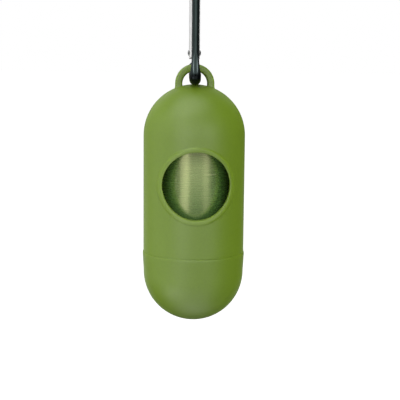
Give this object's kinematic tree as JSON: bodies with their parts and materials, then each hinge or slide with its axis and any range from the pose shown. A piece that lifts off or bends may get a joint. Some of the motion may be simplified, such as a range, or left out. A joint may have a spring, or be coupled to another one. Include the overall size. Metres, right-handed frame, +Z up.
{
  "type": "bag roll dispenser",
  "caption": "Capsule-shaped holder for a roll of small film bags, with a round pull-out window, a screw-on bottom cap, a moulded loop and a spring-gate hook to hang it by.",
  "frame": {"origin": "hang point: the highest point of the inside of the hook, midway across its bar", "axes": "+Z up along the hanging line and the capsule's axis; -Y is the window's side; the hook lies in a vertical plane turned 2 degrees from the YZ plane, with its gate towards +Y, and the loop in the XZ plane"},
  "size_m": [0.0406, 0.0409, 0.1444],
  "materials": {
    "shell_plastic": "satin moulded plastic, moss green",
    "cap_plastic": "satin moulded plastic, moss green",
    "bag_film": "thin glossy film, wound, with fine creases",
    "cardboard": "raw cardboard",
    "hook_metal": "dark gunmetal, satin anodised",
    "gate_metal": "bare, bright",
    "rivet_steel": "plain steel",
    "spring_steel": "bright wire"
  },
  "bodies": {
    "hook": {"carabiner_frame": "hook_metal"},
    "gate": {"carabiner_gate": "gate_metal", "gate_rivet": "rivet_steel", "latch_pin": "rivet_steel", "gate_spring": "spring_steel"},
    "plunger": {"spring_plunger": "spring_steel"},
    "shell": {"upper_shell": "shell_plastic"},
    "roll_carrier": {"roll_core": "cardboard"},
    "cap": {"bottom_cap": "cap_plastic"},
    "bags": {"bag_01": "bag_film", "bag_02": "bag_film", "bag_03": "bag_film", "bag_04": "bag_film", "bag_05": "bag_film", "bag_06": "bag_film", "bag_07": "bag_film", "bag_08": "bag_film", "bag_09": "bag_film", "bag_10": "bag_film", "bag_11": "bag_film", "bag_12": "bag_film", "bag_13": "bag_film", "bag_14": "bag_film", "bag_15": "bag_film"}
  },
  "joints": [
    {"name": "gate_hinge", "type": "hinge", "parent": "hook", "child": "gate", "pos_m": [0.0004, 0.01149, -0.0338], "axis": [0.9994, -0.0349, 0], "range_deg": [0, 25], "stiffness_Nm_per_rad": 0.001, "springref_deg": -148.97},
    {"name": "plunger_slide", "type": "slide", "parent": "gate", "child": "plunger", "axis": [0, 0, 1], "range_m": [0, 0.00049303], "deforming": ["gate_spring"]},
    {"name": "shell_swing", "type": "hinge", "parent": "hook", "child": "shell", "pos_m": [0, 0, -0.04325], "axis": [0.0349, 0.9994, 0], "range_deg": [-80, 80]},
    {"name": "cap_draw", "type": "slide", "parent": "shell", "child": "roll_carrier", "axis": [0, 0, -1], "range_m": [0, 0.055]},
    {"name": "cap_turn", "type": "hinge", "parent": "roll_carrier", "child": "cap", "pos_m": [0, 0, -0.12], "axis": [0, 0, -1], "range_deg": [0, 1650.2]},
    {"name": "roll_spin", "type": "hinge", "parent": "roll_carrier", "child": "bags", "pos_m": [0, 0, -0.099], "axis": [0, 0, 1], "continuous": true}
  ],
  "couplings": [
    {"joint": "gate_hinge", "follows": "plunger_slide", "rad_per_m": 885},
    {"joint": "cap_turn", "follows": "cap_draw", "rad_per_m": 523.6}
  ]
}
